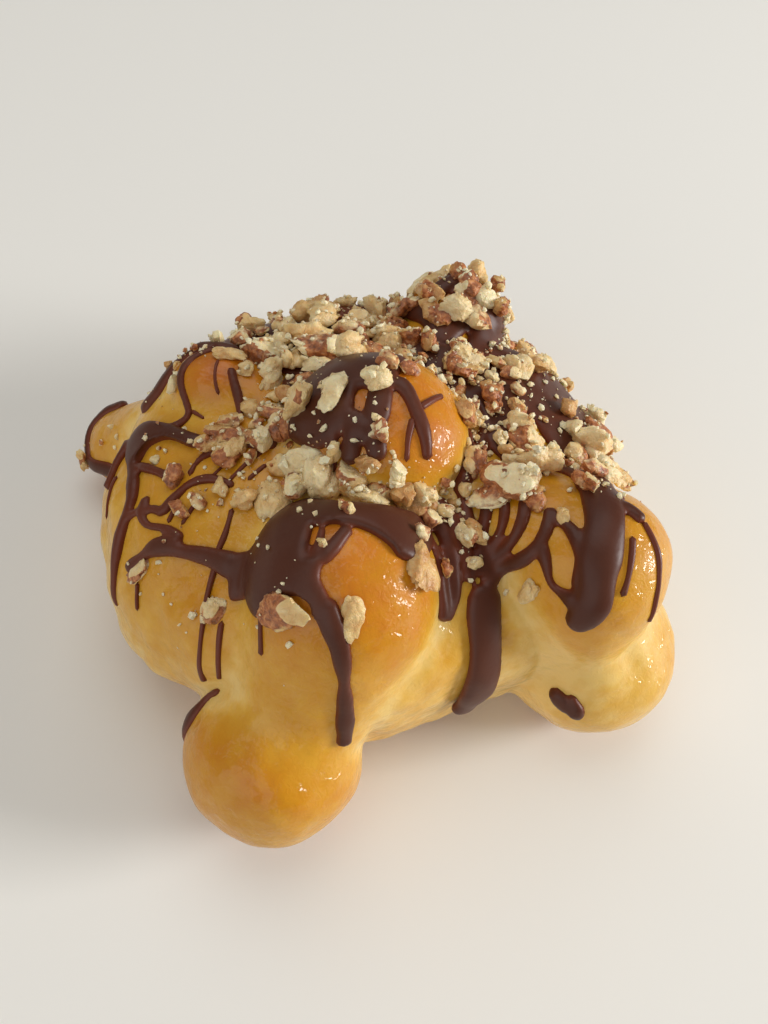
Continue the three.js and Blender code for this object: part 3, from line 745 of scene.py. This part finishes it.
# Nuts: broken kernels, placed on the map as right, back and length, and the rest by a golden-angle rule
# Flakes and large ones also have a heading in degrees, and 1 where they kept some skin
nuts = {
    "flakes": [
        (9, -41, 8, 85, 0), (-15.3, -50.4, 8, 0, 1), (-2.4, -49.6, 5, 90, 0), (-36, -54.5, 7, 60, 1),
        (-55, -43, 5, 30, 1), (39.5, -38.5, 5, 70, 0), (-30, -32, 8, 100, 0), (-4, -29.5, 6.5, 0, 0),
        (-44, -11.5, 7.5, 0, 1), (-46, 13, 6, 30, 0),
    ],
    "large": [
        (-16.5, -29, 10, 100, 0), (-25.5, -20, 8, 20, 0), (31, -17.5, 9.5, 0, 1), (34, 9, 7, -15, 0),
        (37.5, 3.5, 7.5, -25, 1), (38, -8.5, 8, -15, 0), (55, 13, 8, 30, 0), (54, 7, 6.5, -10, 1),
        (67, 14, 7.5, -10, 1), (66, 24, 7, 60, 0), (-15, -7, 6.5, 90, 0), (-23, -6, 6.5, 10, 1),
        (-43.5, 19, 8.5, 20, 1), (-48, 34, 7, 20, 1), (-38.5, 9, 7.5, 70, 0), (-26, 22, 8.5, 15, 1),
        (-31, 29, 7.5, 10, 0), (-27, 38, 8, 20, 0), (-18, 43, 7, 20, 0), (-33, -8, 7.5, 100, 1),
        (15.5, 46, 7, 30, 0), (10.5, 39.5, 7, 0, 0), (15.5, 29, 7, 0, 1), (32, 32, 7, 80, 0),
        (-10, 38, 7, 20, 0), (-96, 9, 4.5, 0, 1), (49, -6, 6.5, 0, 0), (-6.5, -4.5, 5.5, 25, 0),
    ],
    "middling": [
        (-52, 50, 5), (-37, -2, 5), (-47, -15, 4.5), (-59.5, -16.5, 2), (-53, -22, 5), (-32, -21, 5),
        (-25.5, -26, 5.5), (-36, -31, 5), (-42, -27, 4), (-46, -29.5, 4.5), (-49, -31, 3.5),
        (-14, -19.5, 3.5), (-20, -23.5, 5), (-11, -23, 4.5), (2, -22, 4.5), (9, -24, 5), (-6, -20.5, 3.5),
        (-8, -25, 5.5), (-7, -28, 4.5), (-1.5, -26.5, 6), (7, -29.5, 6), (13, -30, 4.5),
        (8.5, -34, 3), (-10, -38.5, 2.2), (-7.5, -32, 3), (-3.5, -15, 4), (-4.5, 2, 4.5), (0.5, 3, 5),
        (-41, -18, 5.5), (22.5, -10, 6), (17.5, 1.5, 6), (36, -4, 5), (42, -13, 4.5), (38.5, -21, 3.5),
        (35.5, -17.5, 5.5), (49, 22, 5), (24, -32, 4.5), (25, 17, 4.5), (27, 12, 4), (12, 27, 6), (17, 25, 5),
        (20.5, 28, 5), (37, 37, 6), (39, 42, 5.5), (5, 41.5, 6), (2.5, 46, 6.5), (11.5, 46, 5.5),
        (8, 50, 4.5), (5.5, 31.5, 5), (0.5, 34, 5), (-39, 33, 6), (-33, 39, 6), (-21, 34, 6),
        (-17, 31, 4.5), (-16.5, 12, 6), (-13, 27, 5), (-6, 31, 6), (-29, 7, 5), (-27, 17, 5),
        (25, -30.5, 4.5), (26.5, -38, 3), (17.5, -40.5, 3), (-13, 50, 6), (-22, 52, 5), (18, 52, 5.5),
        (25, 58, 5), (14, 56, 5), (0, 55, 5.5), (-7, 55, 5.5), (60, 34, 5.5), (43, 45, 5), (-3, 47, 5.5),
        (6, 58, 5.5), (20, 46, 4.5), (-7, 44, 5.5), (4, -25, 5), (12, -25.5, 4.5), (17, -27, 3.5),
        (2, 52, 5), (13, 51, 5), (-40, 24, 6), (-35, 16, 5.5), (-20, 26, 5), (-33, 3, 4.5), (-28, 45, 6),
        (-8, 49, 5),
    ],
    # the spread: how many, how far over the map, and how far from the listed nuts
    "count": 340, "halfAcross": 64, "halfBack": 54, "middleBack": 22, "apart": 3.8,
    "length": (1.8, 5.8), "fewLong": 1.6,  # above 1 there are fewer long ones than short
    "bare": [(-8, -2, 24), (2, -47, 22), (-50, 2, 8), (47, -27, 15), (-60, -26, 12), (-60, 28, 11),
             (44, 25, 10), (51, 33, 10), (25, 41, 9), (29, 9, 7), (46, 6, 6), (6, 36, 4), (-68, 0, 8),
             (-66, 40, 14), (26, -25, 5)],  # patches of the map, each its right, back and radius
    "shapes": {
        "flakes": {**chip, "rows": 17, "around": 30, "width": (0.62, 0.72), "thick": (0.28, 0.36),
                   "lean": 0.12, "tone": (0.1, 0.6)},
        "large": {**chip, "rows": 21, "around": 34, "planes": 6, "tone": (0.5, 1.0), "lean": 0.4},
        "middling": {**chip, "rows": 15, "around": 24},
        "spread": {**chip, "rows": 6, "around": 10},
    },
    "crisp": 40, "seed": 12,
}


# Which places of the map lie inside any of the round patches, each its right, back and radius
def insideAny(spots, patches):
    right, back, radius = np.array(patches, float).T
    return (np.hypot(spots[:, :1] - right, spots[:, 1:2] - back) < radius).any(1)


# Places of the listed nuts, and of a golden-angle spread where none lies yet
def nutPlaces():
    sets = {kind: np.array(nuts[kind], float) for kind in ("flakes", "large", "middling")}
    placed = np.concatenate([spots[:, :2] for spots in sets.values()])
    k = np.arange(nuts["count"])
    out, turn = np.sqrt((k + 0.5) / nuts["count"]), k * np.pi * (3 - math.sqrt(5))
    right = out * nuts["halfAcross"] * np.cos(turn)
    back = nuts["middleBack"] + out * nuts["halfBack"] * np.sin(turn)
    low, high = nuts["length"]
    length = low + (high - low) * np.random.default_rng(nuts["seed"]).random(len(k)) ** nuts["fewLong"]
    taken = np.hypot(right[:, None] - placed[:, 0], back[:, None] - placed[:, 1]).min(1) < nuts["apart"]
    spread = np.stack([right, back, length], 1)
    return {**sets, "spread": spread[~taken & ~insideAny(spread, nuts["bare"])]}


# Ways from the middle of a round grid, poles last, with its quads and its triangles at the poles
def roundGrid(rows, around):
    polar = np.pi * np.arange(1, rows + 1) / (rows + 1)
    turn = np.linspace(0, 2 * np.pi, around, endpoint=False)
    x, y = np.sin(polar)[:, None] * np.cos(turn), np.sin(polar)[:, None] * np.sin(turn)
    z = np.broadcast_to(np.cos(polar)[:, None], x.shape)
    ways = np.concatenate([np.stack([x, y, z], -1).reshape(-1, 3), [[0, 0, 1], [0, 0, -1]]])
    quads, triangles = closedFaces(rows, around)
    return ways, quads[:, ::-1], triangles[:, ::-1]


# Chips of size 1: a core and lobes grown together, each a ball off the middle, cut by random planes
# Also gives how far each corner lies inside the cuts, where the kernel's skin is left
def chipShapes(ways, count, settings, rng):
    middle = unit(rng.normal(size=(count, settings["lobes"], 3)))
    middle *= rng.uniform(*settings["lobeOut"], (count, settings["lobes"], 1))
    radius = rng.uniform(*settings["lobeRadius"], (count, settings["lobes"], 1))
    along = middle @ ways.T
    within = along ** 2 + radius ** 2 - (middle ** 2).sum(2, keepdims=True)
    reach = np.where(within > 0, along + np.sqrt(np.maximum(within, 0)), 0)
    grown = np.maximum(reach.max(1), settings["core"])
    facing = unit(rng.normal(size=(count, settings["planes"], 3)))
    offset = rng.uniform(*settings["offset"], (count, settings["planes"], 1))
    aslant = 0.02  # planes that face away, or nearly, cut nothing
    cut = (offset / np.maximum(facing @ ways.T, aslant)).min(1)
    return np.minimum(grown, cut)[..., None] * ways, ease(cut - grown, 0.0, settings["skinEdge"])


# Lays chips on what is there: seats them along the way in, each with its heading and a random lean
def laidChips(shapes, spots, ground, settings, rng):
    right, back, length, heading = spots[:, :4].T
    out = waysOut(right, back)
    hits = [ground.ray_cast(Vector(heart + o * farOut), Vector(-o)) for o in out]
    seat = np.array([hit[0] for hit in hits])
    normal = unit(crustSlope(settled(seat)))
    turn = np.radians(heading)
    ahead = waysOut(right + np.cos(turn), back + np.sin(turn)) - out
    side = unit(ahead - (ahead * normal).sum(1, keepdims=True) * normal)
    lean = rng.uniform(-1, 1, (len(spots), 1)) * settings["lean"]
    up = normal * np.cos(lean) + np.cross(normal, side) * np.sin(lean)
    width = length * rng.uniform(*settings["width"], len(spots))
    thick = length * rng.uniform(*settings["thick"], len(spots))
    sizes = np.stack([length, width, thick], 1)
    axes = np.stack([side, np.cross(up, side), up], 1)
    seat = seat + normal * (thick * settings["seat"])[:, None]
    return np.einsum("npk,nkj->npj", shapes * sizes[:, None], axes) + seat[:, None]


# Faces of one shape repeated for a number of copies
def repeated(faces, count, corners):
    return (faces + np.arange(count)[:, None, None] * corners).reshape(-1, faces.shape[1])


# Chips at the given spots as one surface, with marks for skin and for the tone of each
# Crags are grooves where waves cross zero, or ridges where their height is below 0
def chipSurface(spots, settings, ground, rng):
    count = len(spots)
    if spots.shape[1] == 3:
        skinned = rng.random(count) < settings["skinned"]
        spots = np.column_stack([spots, rng.uniform(0, 360, count), skinned])
    ways, quads, triangles = roundGrid(settings["rows"], settings["around"])
    shapes, skin = chipShapes(ways, count, settings, rng)
    chipsApart, meanCrest = 3.0, 0.8  # so that no two chips share their crags, or grow by them
    own = shapes + chipsApart * rng.normal(size=(count, 1, 3))
    for wave, height, seed in settings["crags"]:
        shapes = shapes * (1 + height * (np.abs(waves(own, wave, seed)) - meanCrest))[..., None]
    places = laidChips(shapes, spots, ground, settings, rng).reshape(-1, 3)
    skin = skin * spots[:, 4:]
    tone = np.repeat(rng.uniform(*settings["tone"], count), len(ways))
    faceSets = [repeated(faces, count, len(ways)) for faces in (quads, triangles)]
    return places, faceSets, {"skin": skin.ravel(), "tone": tone}


# Several surfaces with the same marks as one
def joinedSurfaces(surfaces):
    starts = np.cumsum([0] + [len(places) for places, _, _ in surfaces[:-1]])
    faceSets = [faces + start for (_, sets, _), start in zip(surfaces, starts) for faces in sets]
    marks = {name: np.concatenate([part[2][name] for part in surfaces]) for name in surfaces[0][2]}
    return np.concatenate([places for places, _, _ in surfaces]), faceSets, marks


# All kinds of nuts as one surface
def nutSurface(ground):
    rng = np.random.default_rng(nuts["seed"])
    return joinedSurfaces([
        chipSurface(spots, nuts["shapes"][kind], ground, rng) for kind, spots in nutPlaces().items()
    ])


nutLook = {
    "flesh": [(0.0, shade(190, 135, 75)), (0.35, shade(229, 190, 127)), (1.0, shade(250, 234, 190))],
    "skin": [(0.3, shade(112, 56, 28)), (0.5, shade(168, 94, 48)), (0.72, shade(216, 150, 94))],
    "mottle": 420, "grain": 1100, "grainShow": 0.7, "grainDeep": 0.0007, "peel": 260,
    "tone": (0.8, 1.2, -0.55),  # how much the chip's own tone and the mottling count, and the start
    "edge": (0.9, 1.4, -0.9),  # the same for the chip's skin and the peeling
    "skinFrom": 0.5, "skinTo": 0.64, "skinMost": (0.95, 0.95, 0.95, 1.0),
    "rough": 0.28, "roughMore": 0.3,
    "sockets": {"Subsurface Weight": 0.25, "Subsurface Radius": (0.003, 0.002, 0.001)},
}


# Broken kernel: waxy cream flesh of uneven tone, with patches of brown skin where the mark says
def nutFinish():
    look = nutLook
    finish, tree = newFinish("nutFinish")
    at = objectPlaces(tree)
    mottle = noise(tree, at, look["mottle"], detail=4.0)
    grain = noise(tree, at, look["grain"], distortion=0.4)
    peel = noise(tree, at, look["peel"], detail=5.0)
    own, mottled, start = look["tone"]
    tone = weigh(tree, mottle, mottled, weigh(tree, readMark(tree, "tone"), own, start))
    own, peeled, start = look["edge"]
    edge = weigh(tree, peel, peeled, weigh(tree, readMark(tree, "skin"), own, start))
    share = ramp(tree, edge, [(look["skinFrom"], black), (look["skinTo"], look["skinMost"])])
    flesh = ramp(tree, tone, look["flesh"])
    skin = ramp(tree, grain, look["skin"])
    surface(tree, {
        "Base Color": mixColour(tree, share, flesh, skin),
        "Roughness": weigh(tree, grain, look["roughMore"], look["rough"]),
        "Normal": bump(tree, grain, look["grainShow"], look["grainDeep"]),
        **look["sockets"],
    })
    return finish


# Crumbs: specks of the same nuts
crumbs = {
    **chip,
    "count": 2600, "spread": 5.5, "length": (0.3, 2.0), "fewLong": 3,
    "bare": [(10, -9, 12), (6, -47, 20), (-50, 2, 8), (44, -28, 14), (-60, -28, 12)],
    "rows": 3, "around": 6, "crisp": 25, "crags": [],
    "skinned": 0.3, "tone": (0.7, 1.4),
    "seed": 31,
}


# Each crumb lies about a nut picked at random, at a distance with a normal spread
def crumbSurface(ground):
    rng = np.random.default_rng(crumbs["seed"])
    near = np.concatenate([spots[:, :2] for spots in nutPlaces().values()])
    near = near[rng.integers(len(near), size=crumbs["count"])]
    near = near + rng.normal(size=near.shape) * crumbs["spread"]
    near = near[~insideAny(near, crumbs["bare"])]
    low, high = crumbs["length"]
    length = low + (high - low) * rng.random(len(near)) ** crumbs["fewLong"]
    return chipSurface(np.column_stack([near, length]), crumbs, ground, rng)


# What toppings fall on, as a tree to be searched along a ray
def groundOf(surfaces):
    places, faces, start = [], [], 0
    for spots, faceSets in surfaces:
        places.append(spots)
        faces += [face for faceSet in faceSets for face in (faceSet + start).tolist()]
        start += len(spots)
    return BVHTree.FromPolygons(np.concatenate(places).tolist(), faces)


crustPlaces, crustQuads = crustSurface()
# The crust's mark holds its browning together with the painted light and shade by side
makePiece("crust", crustPlaces, [crustQuads], crustFinish(), {"bakeAndPaintedLight": crustBakeAndPaintedLight(crustPlaces)})
chocolatePlaces, chocolateFaces = chocolateSurface()
depth = crustField(chocolatePlaces) - crustRelief(chocolatePlaces)
thick = ease(depth, *chocolateLook["thickFrom"])
makePiece("chocolate", chocolatePlaces, chocolateFaces, chocolateFinish(), {"thick": thick})
layers = [(crustPlaces, [crustQuads]), (chocolatePlaces, chocolateFaces)]
nutSpots, nutFaces, nutMarks = nutSurface(groundOf(layers))
kernel = nutFinish()
makePiece("nuts", nutSpots, nutFaces, kernel, nutMarks, nuts["crisp"])
layers.append((nutSpots, nutFaces))
crumbSpots, crumbFaces, crumbMarks = crumbSurface(groundOf(layers))
makePiece("crumbs", crumbSpots, crumbFaces, kernel, crumbMarks, crumbs["crisp"])


# Studio: pale floor, soft light from the right, from above and from the front left, camera
studio = {
    "floor": shade(241, 238, 231), "floorRough": 0.7, "floorHalf": 3.0,
    "world": shade(228, 226, 220), "worldStrength": 0.25,
    # place, size and power of each soft light
    "lights": {
        "windowLight": ((1.15, 0.1, 0.42), 0.4, 13.4),
        "skyLight": ((-0.2, 0.5, 1.2), 1.2, 5.8),
        "roomLight": ((-0.5, -0.92, 0.62), 1.2, 4.8),
    },
    "focalPixels": 800, "longSide": 1024, "sensor": 36.0, "nearest": 0.01,
    "target": (0.0, 0.0, 22.5), "distance": 146.5, "elevation": 56.0, "roll": 10.0,
    "moved": (2, 17),  # how far right of and above the frame's middle the view's middle sits, in pixels
}


# A square floor at the height where the bread stands
def makeFloor():
    half = studio["floorHalf"]
    mesh = bpy.data.meshes.new("floor")
    corners = np.array([(-half, -half, 0), (half, -half, 0), (half, half, 0), (-half, half, 0)])
    fillMesh(mesh, corners, [np.array([[0, 1, 2, 3]])])
    finish, tree = newFinish("floorFinish")
    surface(tree, {"Base Color": studio["floor"], "Roughness": studio["floorRough"]})
    mesh.materials.append(finish)
    floor = bpy.data.objects.new("floor", mesh)
    bpy.context.scene.collection.objects.link(floor)


# An even world, and square lights that face the bread
def makeLights():
    world = bpy.data.worlds.new("studioWorld")
    world.use_nodes = True
    world.node_tree.nodes["Background"].inputs["Color"].default_value = studio["world"]
    world.node_tree.nodes["Background"].inputs["Strength"].default_value = studio["worldStrength"]
    bpy.context.scene.world = world
    for name, (place, size, power) in studio["lights"].items():
        lamp = bpy.data.lights.new(name, "AREA")
        lamp.size = size
        lamp.energy = power
        light = bpy.data.objects.new(name, lamp)
        light.location = place
        light.rotation_mode = "QUATERNION"
        light.rotation_quaternion = Vector(-np.array(place)).to_track_quat("-Z", "Y")
        bpy.context.scene.collection.objects.link(light)


# The eye lies back from the target at its elevation, and the view is rolled about the line between them
def makeCamera():
    lens = bpy.data.cameras.new("camera")
    lens.sensor_width = studio["sensor"]
    lens.lens = studio["focalPixels"] * studio["sensor"] / studio["longSide"]
    lens.shift_x = -studio["moved"][0] / studio["longSide"]
    lens.shift_y = -studio["moved"][1] / studio["longSide"]
    lens.clip_start = studio["nearest"]
    rise, roll = math.radians(studio["elevation"]), math.radians(studio["roll"])
    back = np.array([0, -math.cos(rise), math.sin(rise)])
    right = np.array([1.0, 0, 0])
    up = np.cross(back, right)
    eye = (np.array(studio["target"]) + crossing + back * studio["distance"]) * mm
    turned = right * math.cos(roll) + up * math.sin(roll)
    axes = np.stack([turned, np.cross(back, turned), back, eye], 1)
    camera = bpy.data.objects.new("camera", lens)
    camera.matrix_world = Matrix([*axes.tolist(), [0, 0, 0, 1]])
    bpy.context.scene.collection.objects.link(camera)
    bpy.context.scene.camera = camera


makeFloor()
makeLights()
makeCamera()
bpy.context.scene.view_settings.view_transform = "Standard"
print("studio is set")
